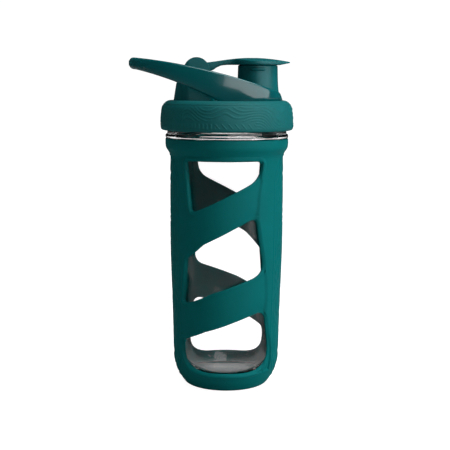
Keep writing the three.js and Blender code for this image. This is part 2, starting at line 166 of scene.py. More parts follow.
# The two side lights only give shape, and the panel only draws highlights on the gloss parts and the glass.
key = soft_box("right_soft_box", (0.5, 0.9), 7.0, (0.86, -0.34, 0.35), (0, 0, 0.12))
key.visible_glossy = False
fill = soft_box("left_strip", (0.15, 0.8), 0.3, (-0.8, -0.1, 0.3), (0, 0, 0.12))
fill.visible_glossy = False
soft_box("top_soft_box", (0.7, 0.5), 5.5, (0.25, -0.15, 1.0), (0, 0, 0.15))
panel = soft_box("front_panel", (1.3, 0.9), 12.0, (0.585, -0.845, 0.38), (0, 0, 0.2))
panel.rotation_euler.rotate_axis("Z", math.radians(-25))
panel.visible_diffuse = False
bpy.context.scene.view_settings.view_transform = "Standard"


# ---- Glass bottle ------------------------------------------------------------------------------------------
# The vessel is borosilicate glass, blown in a mould: a thick base, a straight body, a bead that stops the
# sleeve, and a wide neck with one and a half turns of thread. Its rim is fire polished.
SLEEVE_WALL, FIT_GAP = 2.4, 0.3
FOOT_RADIUS, FOOT_CORNER = 26.5, 5.5  # the sleeve's flat foot and the small arc at its edge
HEEL_ARC, HEEL_RADIUS = 35.0, 38.3  # the long arc above it, and how wide the sleeve is at its top
BODY_RADIUS, COLLAR_RADIUS = 40.6, 44.35
NECK_RADIUS, MOUTH_RADIUS = 40.3, 37.3
SMOOTH_ANGLE = 40  # faces that meet at less than this are shaded as one surface


def softened(points, rounds=2, closed=False):
    """The same line of points with its corners cut back, so that it bends smoothly. Its ends stay."""
    line = [tuple(p) for p in points]
    for _ in range(rounds):
        cut = [] if closed else [line[0]]
        for a, b in zip(line, line[1:] + line[:1] if closed else line[1:]):
            cut.append(tuple(0.75 * u + 0.25 * v for u, v in zip(a, b)))
            cut.append(tuple(0.25 * u + 0.75 * v for u, v in zip(a, b)))
        line = cut if closed else cut + [line[-1]]
    return line


def arc(radius, z, size, start, end, steps=8):
    """Points of an arc in the half section, between two angles in degrees from the outward direction."""
    angles = np.radians(np.linspace(start, end, steps + 1))
    return [(radius + size * math.cos(a), z + size * math.sin(a)) for a in angles]


def alone(piece):
    """The piece, which is then the only one selected and the active one."""
    bpy.ops.object.select_all(action="DESELECT")
    piece.select_set(True)
    bpy.context.view_layer.objects.active = piece
    return piece


def turned(name, profile, sides=144, smooth_angle=SMOOTH_ANGLE):
    """A round body on the Z axis: a ring is added at the profile's first point, then extruded and scaled from
    point to point. profile holds (radius, z) in millimetres. It starts and ends on the axis, or it closes on
    its own first point."""
    bpy.ops.object.select_all(action="DESELECT")
    (radius, z), tiny = profile[0], 1e-4
    bpy.ops.mesh.primitive_circle_add(
        vertices=sides, radius=max(radius, tiny) * MM, location=(0, 0, z * MM), fill_type="NOTHING"
    )
    piece = bpy.context.object
    piece.name = piece.data.name = name
    bpy.ops.object.transform_apply(location=True, rotation=True, scale=True)
    bpy.ops.object.mode_set(mode="EDIT")
    bpy.ops.mesh.select_all(action="SELECT")
    for (before, low), (after, high) in zip(profile, profile[1:]):
        grow = max(after, tiny) / max(before, tiny)
        bpy.ops.mesh.extrude_region_move(TRANSFORM_OT_translate={"value": (0, 0, (high - low) * MM)})
        bpy.ops.transform.resize(value=(grow, grow, 1), center_override=(0, 0, 0))
    bpy.ops.mesh.select_all(action="SELECT")
    bpy.ops.mesh.remove_doubles(threshold=2e-6)
    bpy.ops.mesh.dissolve_degenerate(threshold=1e-7)
    bpy.ops.mesh.normals_make_consistent(inside=False)
    bpy.ops.object.mode_set(mode="OBJECT")
    bpy.ops.object.shade_smooth_by_angle(angle=math.radians(smooth_angle))
    return piece


def body_line(inset, top):
    """The line that sleeve and glass share: the sleeve's outside, moved in by inset, from the flat foot up to
    the height top."""
    centre = HEEL_RADIUS - HEEL_ARC
    height = FOOT_CORNER + math.sqrt((HEEL_ARC - FOOT_CORNER) ** 2 - (FOOT_RADIUS - centre) ** 2)
    join = math.degrees(math.atan2(FOOT_CORNER - height, FOOT_RADIUS - centre))
    foot = arc(FOOT_RADIUS, FOOT_CORNER, FOOT_CORNER - inset, -90, join, 8)
    heel = arc(centre, height, HEEL_ARC - inset, join, 0, 16)[1:]
    wall = [(38.9, 52), (39.9, 80), (BODY_RADIUS, 103), (BODY_RADIUS, 135), (BODY_RADIUS, 165)]
    shoulder = [(40.7, 168), (42.0, 170.6), (44.0, 173.4), (COLLAR_RADIUS, 176), (COLLAR_RADIUS, top)]
    upper = softened([(r - inset, z) for r, z in wall + shoulder], 2)
    return foot + heel + upper


glass_outside = body_line(SLEEVE_WALL + FIT_GAP, 180.5)
bead = softened([(43.3, 180.5), (44.3, 180.6), (44.3, 183.1), (43.2, 183.4)], 2)
neck_foot = softened([(43.0, 184.6), (42.9, 185.4), (40.6, 185.5), (NECK_RADIUS, 187)], 2)
rim = softened([(NECK_RADIUS, 198), (NECK_RADIUS, 199.5), (MOUTH_RADIUS, 199.5), (MOUTH_RADIUS, 198)], 3)
inner_wall = softened(
    [(MOUTH_RADIUS, 176), (37.0, 171), (35.2, 167), (35.2, 150), (35.1, 103), (34.2, 70), (33.3, 45)], 2
)
inner_floor = arc(17.6, 23.9, 15.4, 0, -90, 16)
glass = turned(
    "glass_body",
    [(0, 2.7)] + glass_outside + bead + neck_foot + rim + inner_wall + inner_floor + [(0, 8.2)],
    sides=160,
)


def thread_ridge(name, radius, side, turns, start_z, height=1.7, pitch=5.0):
    """A helical ridge on the bottle's axis that stands outwards from radius for side 1 and inwards for -1.
    Its section is set out step by step along the thread, and each step is joined to the next."""
    per_turn = 72
    flank = [(0.55 * height, -1.0), (height, -0.45), (height, 0.45), (0.55 * height, 1.0)]
    section = [(-0.5, -1.15)] + flank + [(-0.5, 1.15)]
    steps = range(round(turns[0] * per_turn), round(turns[1] * per_turn) + 1)
    shape = bmesh.new()
    rings = []
    for i in steps:
        fade = min(1, (i - steps[0] + 1) / 10, (steps[-1] - i + 1) / 10)
        angle = 2 * math.pi * i / per_turn
        ring = []
        for out, up in section:
            r = radius + side * (out * fade if out > 0 else out)
            z = start_z + pitch * i / per_turn + up * max(fade, 0.3)
            ring.append(shape.verts.new((r * math.cos(angle) * MM, r * math.sin(angle) * MM, z * MM)))
        rings.append(ring)
    for one, two in zip(rings, rings[1:]):
        for k in range(len(section)):
            m = (k + 1) % len(section)
            shape.faces.new((one[k], one[m], two[m], two[k]))
    shape.faces.new(rings[0])
    shape.faces.new(rings[-1][::-1])
    bmesh.ops.recalc_face_normals(shape, faces=shape.faces)
    mesh = bpy.data.meshes.new(name)
    shape.to_mesh(mesh)
    shape.free()
    ridge = bpy.data.objects.new(name, mesh)
    bpy.context.collection.objects.link(ridge)
    return ridge


def merged(piece, other, operation="UNION"):
    """piece after a boolean with the other, which is used up."""
    cut = piece.modifiers.new("boolean", "BOOLEAN")
    cut.operation, cut.object, cut.solver = operation, other, "EXACT"
    alone(piece)
    bpy.ops.object.modifier_apply(modifier="boolean")
    bpy.data.objects.remove(other)
    bpy.ops.object.mode_set(mode="EDIT")
    bpy.ops.mesh.select_all(action="SELECT")
    bpy.ops.mesh.remove_doubles(threshold=5e-6)
    bpy.ops.object.mode_set(mode="OBJECT")
    bpy.ops.object.shade_smooth_by_angle(angle=math.radians(SMOOTH_ANGLE))
    return piece


glass = merged(glass, thread_ridge("glass_thread", NECK_RADIUS, 1, (0, 1.5), 188.4))

# Blown glass: clear, with a slow waviness from the mould that bends reflections.
glass_material, tree, output = new_material("blown borosilicate glass")
position = add_node(tree, "ShaderNodeTexCoord").outputs["Object"]
wave = add_node(tree, "ShaderNodeTexNoise", {"Scale": 1 / (14 * MM), "Detail": 1.0}, {"Vector": position})
ripple = add_node(
    tree, "ShaderNodeBump", {"Strength": 0.12, "Distance": 0.05 * MM}, {"Height": wave.outputs["Fac"]}
)
glass_shader = add_node(
    tree,
    "ShaderNodeBsdfPrincipled",
    {"Base Color": linear("ffffff"), "Roughness": 0.02, "IOR": 1.47, "Transmission Weight": 1.0},
    {"Normal": ripple.outputs[0]},
)
tree.links.new(glass_shader.outputs[0], output.inputs["Surface"])
glass.data.materials.clear()
glass.data.materials.append(glass_material)
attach(glass, "vessel")
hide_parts("glass_bottle")


# ---- Silicone sleeve ---------------------------------------------------------------------------------------
# A moulded silicone sleeve, 2.4 mm thick and closed under the foot. Three slanted windows are left open in the
# front and three in the back. A frame with a rounded lip runs round them, and the slanted bands fall away below
# it towards their right ends. The two side panels carry low flowing contour lines.
SHEET_RADIUS = 40.0  # the flat sheet is as wide as half a turn at this radius
WINDOW_TOP, WINDOW_FOOT = 165.3, 13.9
BAND_DROP = 1.0  # how much lower the right end of each band lies
FACET_WIDTH, FACET_DEPTH = 9.0, 0.75  # the slope along the under edge of each band, at its right end
LIP_HALF, LIP_RISE = 1.65, 0.55  # half the width of the rounded lip round the windows, and its height
LEAST_WALL = 0.6
PANEL_ANGLE = 57  # of the side panels' edges, from the middle of the windows
PANEL_FOOT, PANEL_TOP = 30, 149  # the heights between which the panels keep their full width
RIM_RISE, LINE_RISE = 0.45, 0.34  # of the line round each panel and of the lines in it
FRONT_SPACING, PANEL_SPACING, INNER_SPACING = 1.1, 0.72, 2.8  # between the points of the sleeve's mesh

# Corners of the windows as (x, z, corner radius, what the edge after the corner belongs to).
windows = {
    "upper": [
        (-27.0, WINDOW_TOP, 1.5, "frame"),
        (-23.7, 129.0, 2.6, "band"),
        (-7.5, 137.0, 12, "band"),
        (22.6, 152.6, 16, "corner"),
        (23.9, WINDOW_TOP, 3.0, "frame"),
    ],
    "middle": [
        (20.0, 126.4, 3.6, "under"),
        (-15.6, 107.2, 10, "under"),
        (-26.6, 96.6, 2.5, "frame"),
        (-29.2, 62.6, 2.6, "band"),
        (-9.1, 72.7, 12, "band"),
        (26.3, 85.8, 11, "right"),
    ],
    "lower": [
        (26.2, 59.4, 5.5, "under"),
        (-13.9, 44.8, 12, "under"),
        (-29.0, 36.9, 4, "frame"),
        (-30.6, 13.7, 19, "frame"),
        (31.0, 13.7, 18, "right"),
    ],
}
creases = [[(22.6, 152), (20.9, 142), (20.5, 132), (20.2, 126)], [(26.0, 85), (26.9, 72), (26.3, 59)]]


def rounded_outline(corners, spacing=1.1):
    """Points round an outline whose corners are rounded, each with the kind of the edge it is on."""
    curves = []
    for i, (x, z, radius, kind) in enumerate(corners):
        corner = np.array((x, z))
        back, ahead = (np.array(corners[k % len(corners)][:2]) - corner for k in (i - 1, i + 1))
        back, ahead = back / np.linalg.norm(back), ahead / np.linalg.norm(ahead)
        reach = radius / math.tan(math.acos(back @ ahead) / 2)
        start, end = corner + back * reach, corner + ahead * reach
        steps = np.linspace(0, 1, max(5, round(2 * reach / spacing)))[:, None]
        bend = (1 - steps) ** 2 * start + 2 * steps * (1 - steps) * corner + steps**2 * end
        kinds = [corners[i - 1][3]] * (len(bend) // 2) + [kind] * (len(bend) - len(bend) // 2)
        curves.append((bend, kinds))
    points, kinds = [], []
    for (bend, names), (following, _) in zip(curves, curves[1:] + curves[:1]):
        gap = np.linalg.norm(following[0] - bend[-1])
        between = np.linspace(0, 1, max(2, round(gap / spacing) + 1))[1:-1, None]
        straight = bend[-1] + (following[0] - bend[-1]) * between
        points += [bend, straight]
        kinds += names + [names[-1]] * len(straight)
    return np.concatenate(points), kinds


# The sleeve's outside, from the foot's edge to the top, and how far along it each height lies.
lip = [(COLLAR_RADIUS, 179.4), (44.25, 179.9), (43.9, 180.15), (43.5, 180.2)]
outside = np.array(softened(body_line(0, 178.5), 1) + lip)
along = np.concatenate([[0], np.cumsum(np.linalg.norm(np.diff(outside, axis=0), axis=1))])
direction = np.gradient(outside, axis=0)
direction /= np.linalg.norm(direction, axis=1)[:, None]
inward = np.stack([-direction[:, 1], direction[:, 0]], axis=1)


def onto_sheet(x, z, depth=0):
    """A point seen from the front, at a depth in the wall, as (across, along) on the sleeve's flat sheet."""
    s = np.interp(z, outside[:, 1], along)
    radius = np.interp(s, along, outside[:, 0]) - depth
    return np.stack([np.arcsin(np.clip(x / radius, -1, 1)) * SHEET_RADIUS, s], axis=-1)


def distance(points, starts, ends):
    """How far each point is from the nearest of the segments from starts to ends."""
    nearest = np.full(len(points), 1e9)
    for a, b in zip(starts, ends):
        step = b - a
        t = np.clip(((points - a) @ step) / max(step @ step, 1e-9), 0, 1)
        nearest = np.minimum(nearest, np.linalg.norm(points - (a + t[:, None] * step), axis=1))
    return nearest


def smooth_step(value, low=0.0, high=1.0):
    """0 below low, 1 above high and an even slope with soft ends between them."""
    t = np.clip((value - low) / (high - low), 0, 1)
    return t * t * (3 - 2 * t)


outlines, edges_of = [], {kind: [] for kind in ("frame", "corner", "right", "band", "under", "crease")}
for corners in windows.values():
    points, kinds = rounded_outline(corners)
    flat = onto_sheet(points[:, 0], points[:, 1], SLEEVE_WALL)
    outlines.append(flat)
    for i, kind in enumerate(kinds):
        edges_of[kind].append((flat[i], flat[(i + 1) % len(flat)]))
window_edges = [(o[i - 1], o[i]) for o in outlines for i in range(len(o))]
for crease in creases:
    line = np.array(softened(crease, 2))
    flat = onto_sheet(line[:, 0], line[:, 1], SLEEVE_WALL)
    edges_of["crease"] += list(zip(flat, flat[1:]))

# Where the bands end on the right and the frame begins, from the foot to the top.
right_line = [(30.2, 30), (26.4, 59), (26.9, 72), (26.2, 86), (20.2, 126)]
right_line += [(20.4, 138), (22.6, 152.6), (23.9, WINDOW_TOP), (20, 200)]
right_line = np.array(right_line)
right_sheet = onto_sheet(right_line[:, 0], right_line[:, 1], SLEEVE_WALL)
window_top = onto_sheet(0, WINDOW_TOP)[1]
window_foot = onto_sheet(0, WINDOW_FOOT)[1]


def inside(points, outline):
    """True for the points inside a closed outline."""
    hit = np.zeros(len(points), bool)
    for a, b in zip(outline, np.roll(outline, -1, axis=0)):
        crosses = (a[1] > points[:, 1]) != (b[1] > points[:, 1])
        run = (b[0] - a[0]) * (points[:, 1] - a[1]) / (b[1] - a[1] + 1e-12) + a[0]
        hit ^= crosses & (points[:, 0] < run)
    return hit


def offset_outline(outline, out):
    """A closed outline moved outwards by a distance."""
    tangent = np.roll(outline, -1, axis=0) - np.roll(outline, 1, axis=0)
    normal = np.stack([tangent[:, 1], -tangent[:, 0]], axis=1)
    normal /= np.linalg.norm(normal, axis=1)[:, None] + 1e-12
    area = np.sum(outline[:, 0] * np.roll(outline[:, 1], -1) - np.roll(outline[:, 0], -1) * outline[:, 1])
    return outline + normal * out * (1 if area > 0 else -1)


def triangulated(closed, lines, loose, keep):
    """A flat mesh: its points, its triangles, and the point numbers of each closed outline and then of each
    line. keep says of triangle middles which of them stay."""
    ranges, start = [], 0
    for line in closed + lines:
        ranges.append(range(start, start + len(line)))
        start += len(line)
    edges = []
    for numbers in ranges[: len(closed)]:
        edges += list(zip(numbers, numbers[1:])) + [(numbers[-1], numbers[0])]
    vectors = [Vector(p) for p in np.concatenate(closed + lines + [loose])]
    verts, _, faces, origin, _, _ = delaunay_2d_cdt(vectors, edges, [], 0, 1e-6)
    points = np.array([tuple(v) for v in verts])
    place = {old: new for new, olds in enumerate(origin) for old in olds}
    faces = np.array([f[:3] for f in faces])
    faces = faces[keep(points[faces].mean(axis=1))]
    return points, faces, [[place[i] for i in numbers] for numbers in ranges]


def hexagonal_grid(low, high, spacing):
    """Points in rows, every other row moved by half a space."""
    columns, rows = np.arange(low[0], high[0], spacing), np.arange(low[1], high[1], 0.866 * spacing)
    grid = np.stack(np.meshgrid(columns, rows), axis=-1)
    grid[::2, :, 0] += 0.5 * spacing
    return grid.reshape(-1, 2)


def flat_sheet(spacing, offsets, fine=None):
    """Half a turn of the sleeve as a flat mesh, with loops at those offsets round each window. The side panels
    may have a finer spacing."""
    half_width = SHEET_RADIUS * math.pi / 2
    top = along[-1]
    across = np.linspace(-half_width, half_width, 109)
    up = np.linspace(0, top, 271)[1:-1]
    lines = [np.stack([across, np.full(len(across), level)], axis=1) for level in (0, top)]
    lines += [np.stack([np.full(len(up), edge), up], axis=1) for edge in (-half_width, half_width)]
    grid = hexagonal_grid((-half_width, 0), (half_width, top), spacing)
    if fine:
        panel_edge = half_width - SHEET_RADIUS * math.radians(90 - PANEL_ANGLE) - 2
        dense = hexagonal_grid((-half_width, 0), (half_width, top), fine)
        front, sides = np.abs(grid[:, 0]) < panel_edge, np.abs(dense[:, 0]) >= panel_edge
        grid = np.concatenate([grid[front], dense[sides]])
    margin = 0.55 * (fine or spacing)
    within = (grid[:, 1] > margin) & (grid[:, 1] < top - margin)
    grid = grid[within & (np.abs(grid[:, 0]) < half_width - margin)]
    grid = grid[distance(grid, *zip(*window_edges)) > max(offsets) + 0.45 * spacing]
    loops = [offset_outline(outline, out) for outline in outlines for out in offsets[1:]]
    loose = np.concatenate([grid] + loops)

    def solid(points):
        return ~np.any([inside(points, outline) for outline in outlines], axis=0)

    return triangulated(outlines, lines, loose[solid(loose)], solid)


def chamfer(height, near, width, low):
    """The height lowered in a straight slope down to low, over that width from the nearest edge."""
    return height - np.maximum(height - low, 0) * (1 - np.clip(near / width, 0, 1))


def wall_height(points):
    """How thick the sleeve is at each point of the flat sheet."""
    across, up = points[:, 0], points[:, 1]
    beyond = across > np.interp(up, right_sheet[:, 1], right_sheet[:, 0])
    framed = beyond | (up > window_top) | (up < window_foot)
    band = SLEEVE_WALL - BAND_DROP * smooth_step(across, -22, 16)
    under = distance(points, *zip(*edges_of["under"]))
    facet = FACET_WIDTH * smooth_step(across, -8, 22) + 1e-3
    band -= FACET_DEPTH * np.clip(1 - under / facet, 0, 1) * smooth_step(across, -8, 10)
    height = np.where(framed, SLEEVE_WALL, band)
    right_edge = distance(points, *zip(*edges_of["right"]))
    crease = distance(points, *zip(*edges_of["crease"]))
    height = np.where(beyond | (up < window_foot), chamfer(height, right_edge, 2.0, 1.2), height)
    height = np.where(beyond, chamfer(height, crease, 1.4, 1.3), height)
    lip_line = distance(points, *zip(*edges_of["frame"], *edges_of["corner"]))
    top_fade = smooth_step(up, *onto_sheet(0, np.array((150, 158)))[:, 1])
    fade = np.maximum(np.maximum(smooth_step(-across, -4, 4), top_fade), up < window_foot + 12)
    crest = np.sqrt(np.clip(1 - (lip_line / LIP_HALF - 1) ** 2, 0, 1))
    height += fade * (LIP_RISE * crest - 0.9 * np.clip(1 - lip_line / LIP_HALF, 0, 1) ** 2)
    edge = distance(points, *zip(*window_edges))
    height -= 0.35 * np.clip(1 - edge / 0.8, 0, 1) ** 2
    return np.maximum(height, LEAST_WALL)


def grip_relief(points):
    """How far the side panels' lines stand out at each point of the flat sheet: a line round each panel and
    flowing contour lines in it. Both sides of a panel's middle, where the sleeve's halves meet, are alike."""
    from_middle = SHEET_RADIUS * math.pi / 2 - np.abs(points[:, 0])
    up = points[:, 1]
    reach = SHEET_RADIUS * math.radians(90 - PANEL_ANGLE)
    low, high = onto_sheet(0, np.array((PANEL_FOOT, PANEL_TOP)))[:, 1]
    arch = np.clip((up - high) / 20, 0, 1) + np.clip((low - up) / 24, 0, 1)
    edge = reach * np.sqrt(np.clip(1 - arch**2, 0, 1))
    steepness = reach * arch / np.sqrt(np.clip(1 - arch**2, 1e-3, 1)) / 20
    inwards = (edge - from_middle) / np.sqrt(1 + steepness**2)
    rim = smooth_step(1 - np.abs(inwards) / 0.9) * (arch < 1)
    places = list(zip(from_middle, up))
    swell = np.array([noise.noise((q * 0.055, v * 0.024, 3.0)) for q, v in places])
    swell += 0.3 * np.array([noise.noise((q * 0.14, v * 0.07, 9.0)) for q, v in places])
    level = (5.0 * swell + 0.006 * from_middle**2) % 1
    line = smooth_step(1 - np.abs(level - 0.5) / 0.3) * smooth_step(inwards, 1.5, 2.5)
    return RIM_RISE * rim + LINE_RISE * line


def wrapped(points, line):
    """The flat sheet's points on the bottle, where line gives the (radius, z) of each stretch along it."""
    angle = points[:, 0] / SHEET_RADIUS
    radius, z = line[:, 0], line[:, 1]
    return np.stack([radius * np.sin(angle), -radius * np.cos(angle), z], axis=1) * MM


def shaped(name, points, faces):
    """A new piece made of points in metres and of faces."""
    mesh = bpy.data.meshes.new(name)
    mesh.from_pydata(points, [], faces)
    piece = bpy.data.objects.new(name, mesh)
    bpy.context.collection.objects.link(piece)
    return piece


def facing_out(piece):
    """The piece with all its faces turned outwards."""
    alone(piece)
    bpy.ops.object.mode_set(mode="EDIT")
    bpy.ops.mesh.select_all(action="SELECT")
    bpy.ops.mesh.normals_make_consistent(inside=False)
    bpy.ops.object.mode_set(mode="OBJECT")
    return piece


def on_line(line, stretch):
    """The (radius, z) of a line beside the sleeve's outside, at stretches along the outside."""
    return np.stack([np.interp(stretch, along, line[:, k]) for k in (0, 1)], axis=1)


edge_loops = (0, 0.35, 0.8, 1.3, 1.9, 2.5, 2.95, 3.2, 3.45, 4.1)
outer_points, outer_faces, outer_rims = flat_sheet(FRONT_SPACING, edge_loops, PANEL_SPACING)
inner_points, inner_faces, inner_rims = flat_sheet(INNER_SPACING, (0, 1.4))
depth = SLEEVE_WALL - wall_height(outer_points) - grip_relief(outer_points)
depth *= smooth_step(along[-1] - outer_points[:, 1], 0, 2.5) * smooth_step(outer_points[:, 1], 0, 4)
outer_line = on_line(outside, outer_points[:, 1]) + on_line(inward, outer_points[:, 1]) * depth[:, None]
inside_line = outside + SLEEVE_WALL * inward
inside_line[-len(lip) :] = [(COLLAR_RADIUS - SLEEVE_WALL, z) for _, z in lip]
skins = np.concatenate(
    [wrapped(outer_points, outer_line), wrapped(inner_points, on_line(inside_line, inner_points[:, 1]))]
)
shift = len(outer_points)
faces = outer_faces.tolist() + (inner_faces[:, ::-1] + shift).tolist()
closed_rims, top_rim = range(len(outlines)), len(outlines) + 1
for number in (*closed_rims, top_rim):
    near, far = outer_rims[number], [i + shift for i in inner_rims[number]]
    pairs = list(zip(near, far))
    stretches = list(zip(pairs, pairs[1:])) + ([(pairs[-1], pairs[0])] if number in closed_rims else [])
    faces += [(a, b, d, c) for (a, b), (c, d) in stretches]
sleeve = shaped("sleeve", skins.tolist(), faces)

# The back half is a copy turned half round, and the two meet at the middle of the side panels.
alone(sleeve)
bpy.ops.object.mode_set(mode="EDIT")
bpy.ops.mesh.select_all(action="SELECT")
bpy.ops.mesh.duplicate()
bpy.ops.transform.rotate(value=math.pi, orient_axis="Z", center_override=(0, 0, 0))
bpy.ops.mesh.select_all(action="SELECT")
bpy.ops.mesh.remove_doubles(threshold=1e-5)

# The foot is closed inside and out, ring by ring, with a shallow dish in its underside. Each ring is given by
# how much narrower it is than the one before, and how much higher.
under_rings, floor_rings = ((0.86, 0), (0.96, 0.5), (0.5, 0), (0.01, 0)), ((0.6, 0), (0.01, 0))
for level, rings in ((0, under_rings), (SLEEVE_WALL, floor_rings)):
    bpy.ops.mesh.select_all(action="DESELECT")
    bpy.ops.object.mode_set(mode="OBJECT")
    for vertex in sleeve.data.vertices:
        vertex.select = abs(vertex.co.z - level * MM) < 2e-5 and vertex.co.xy.length < (FOOT_RADIUS + 0.1) * MM
    bpy.ops.object.mode_set(mode="EDIT")
    bpy.ops.mesh.select_mode(type="VERT")
    for size, rise in rings:
        bpy.ops.mesh.extrude_region_move(TRANSFORM_OT_translate={"value": (0, 0, rise * MM)})
        bpy.ops.transform.resize(value=(size, size, 1), center_override=(0, 0, 0))
    bpy.ops.mesh.merge(type="CENTER")
bpy.ops.object.mode_set(mode="OBJECT")
facing_out(sleeve)
bpy.ops.object.shade_smooth_by_angle(angle=math.radians(50))


def grained_plastic(name, colour, roughness, grain, depth, specular=0.5, coat=0.0):
    """Moulded silicone or plastic: one colour that varies a little, and a fine grain from the mould's surface.
    grain is its size in millimetres, and depth how deep it goes."""
    material, tree, output = new_material(name)
    position = add_node(tree, "ShaderNodeTexCoord").outputs["Object"]
    cloud = add_node(tree, "ShaderNodeTexNoise", {"Scale": 1 / (22 * MM), "Detail": 3.0}, {"Vector": position})
    shade = add_node(tree, "ShaderNodeValToRGB", links={"Fac": cloud.outputs["Fac"]})
    pure = linear(colour)
    for element, level in zip(shade.color_ramp.elements, (0.92, 1.08)):
        element.color = [min(1, c * level) for c in pure[:3]] + [1]
    fine = add_node(tree, "ShaderNodeTexNoise", {"Scale": 1 / (grain * MM), "Detail": 2.0}, {"Vector": position})
    gloss = add_node(
        tree,
        "ShaderNodeMapRange",
        {"To Min": roughness * 0.85, "To Max": roughness * 1.15},
        {"Value": cloud.outputs["Fac"]},
    )
    bump = add_node(
        tree, "ShaderNodeBump", {"Strength": 0.6, "Distance": depth * MM}, {"Height": fine.outputs["Fac"]}
    )
    shader = add_node(
        tree,
        "ShaderNodeBsdfPrincipled",
        {"Specular IOR Level": specular, "Coat Weight": coat, "Coat Roughness": 0.05},
        {"Base Color": shade.outputs[0], "Roughness": gloss.outputs[0], "Normal": bump.outputs[0]},
    )
    tree.links.new(shader.outputs[0], output.inputs["Surface"])
    return material


# Moulded silicone: a soft, wide sheen and no sharp highlight, from a finely spark-eroded mould.
silicone = grained_plastic("moulded teal silicone", "006b6c", 0.6, 0.9, 0.03, 0.05)
sleeve.data.materials.append(silicone)
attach(sleeve, "vessel")
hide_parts("silicone_sleeve")


# ---- Lid gasket --------------------------------------------------------------------------------------------
# A flat ring of clear silicone between the rim of the glass and the screw cap, with its edges rounded.
def filleted(corners, steps=4, closed=True):
    """A line through corners of (across, up, reach), each rounded over that reach on both of its sides."""
    line = []
    for i, (across, up, reach) in enumerate(corners):
        corner = np.array((across, up), float)
        if reach == 0 or (not closed and i in (0, len(corners) - 1)):
            line.append((across, up))
            continue
        back, ahead = (np.array(corners[k % len(corners)][:2]) - corner for k in (i - 1, i + 1))
        start, end = (corner + side * reach / np.linalg.norm(side) for side in (back, ahead))
        for t in np.linspace(0, 1, steps + 1):
            line.append(tuple((1 - t) ** 2 * start + 2 * t * (1 - t) * corner + t * t * end))
    return line


def ringed(name, corners, sides=160, steps=4):
    """A round body whose half section closes on itself."""
    profile = filleted(corners, steps)
    return turned(name, profile + profile[:1], sides)


def finish(piece, material, body, node):
    """The piece's material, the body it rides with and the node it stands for."""
    piece.data.materials.clear()
    piece.data.materials.append(material)
    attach(piece, body)
    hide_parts(node)


# Clear silicone: milky, as it scatters light inside, with a slightly uneven matte surface.
clear_silicone, tree, output = new_material("translucent moulded silicone")
position = add_node(tree, "ShaderNodeTexCoord").outputs["Object"]
cloud = add_node(tree, "ShaderNodeTexNoise", {"Scale": 1 / (6 * MM), "Detail": 2.0}, {"Vector": position})
milk = add_node(tree, "ShaderNodeMapRange", {"To Min": 0.35, "To Max": 0.55}, {"Value": cloud.outputs["Fac"]})
milky_silicone = add_node(
    tree,
    "ShaderNodeBsdfPrincipled",
    {"Base Color": linear("d8e2df"), "IOR": 1.41, "Transmission Weight": 0.5},
    {"Roughness": milk.outputs[0]},
)
tree.links.new(milky_silicone.outputs[0], output.inputs["Surface"])

gasket = ringed("gasket", [(36.9, 199.8, 0.4), (41.3, 199.8, 0.4), (41.3, 201.55, 0.4), (36.9, 201.55, 0.4)])
finish(gasket, clear_silicone, "seal", "lid_gasket")


# ---- Screw cap ---------------------------------------------------------------------------------------------
# The inner shell of the lid, moulded in satin plastic: a skirt with the thread that runs under the one on the
# glass, a plate over the mouth with an inner ring that centres the gasket, and the hole under the spout.
SPOUT_X, SPOUT_BORE = 22.0, 11.4


def placed(piece, move=(0, 0, 0), turn=(0, 0, 0)):
    """The piece turned about its origin and moved, with both made part of its mesh."""
    alone(piece)
    piece.rotation_euler = [math.radians(a) for a in turn]
    piece.location = [v * MM for v in move]
    bpy.ops.object.transform_apply(location=True, rotation=True, scale=True)
    return piece


def rod(name, radius, length, centre, turn=(0, 0, 0), sides=96, edge=0.0):
    """A round rod about its centre, along Z before it is turned, with its two ends' edges rounded."""
    half = length / 2
    corners = [(0, -half, 0), (radius, -half, edge), (radius, half, edge), (0, half, 0)]
    profile = filleted(corners, closed=False)
    return placed(turned(name, profile, sides), centre, turn)


# Satin polypropylene: moulded in a fine matte mould, so it has a soft highlight.
satin_plastic = grained_plastic("satin teal polypropylene", "006064", 0.38, 0.5, 0.012, 0.2)

screw_cap = ringed(
    "screw_cap_shell",
    [
        (43.0, 186.4, 0.5),
        (45.4, 186.4, 0.5),
        (45.4, 204.4, 0.8),
        (0.02, 204.4, 0),
        (0.02, 201.9, 0),
        (34.6, 201.9, 0.8),
        (34.6, 196.0, 0.5),
        (36.4, 196.0, 0.5),
        (36.4, 201.9, 0.5),
        (43.0, 201.9, 0.8),
    ],
)
screw_cap = merged(screw_cap, thread_ridge("cap_thread", 43.0, -1, (0.375, 1.625), 186.5))
screw_cap = merged(screw_cap, rod("cap_hole", SPOUT_BORE, 12, (SPOUT_X, 0, 203)), "DIFFERENCE")
finish(screw_cap, satin_plastic, "lid", "screw_cap")


# ---- Grip ring ---------------------------------------------------------------------------------------------
# The lid's outer ring in matte plastic. Its side is embossed with flowing contour lines, a quarter of a
# millimetre proud, over a row of short ticks near the lower edge, and its top rolls in over the deck.
EMBOSS = 0.24
GRIP_RADIUS = 48.0
TICK_PITCH, SLANT_PITCH = 2.9, 4.6  # along the ring, of the upright and of the slanted ticks
TICK_MIDDLE = 190  # the height at which a slanted tick has no shift along the ring

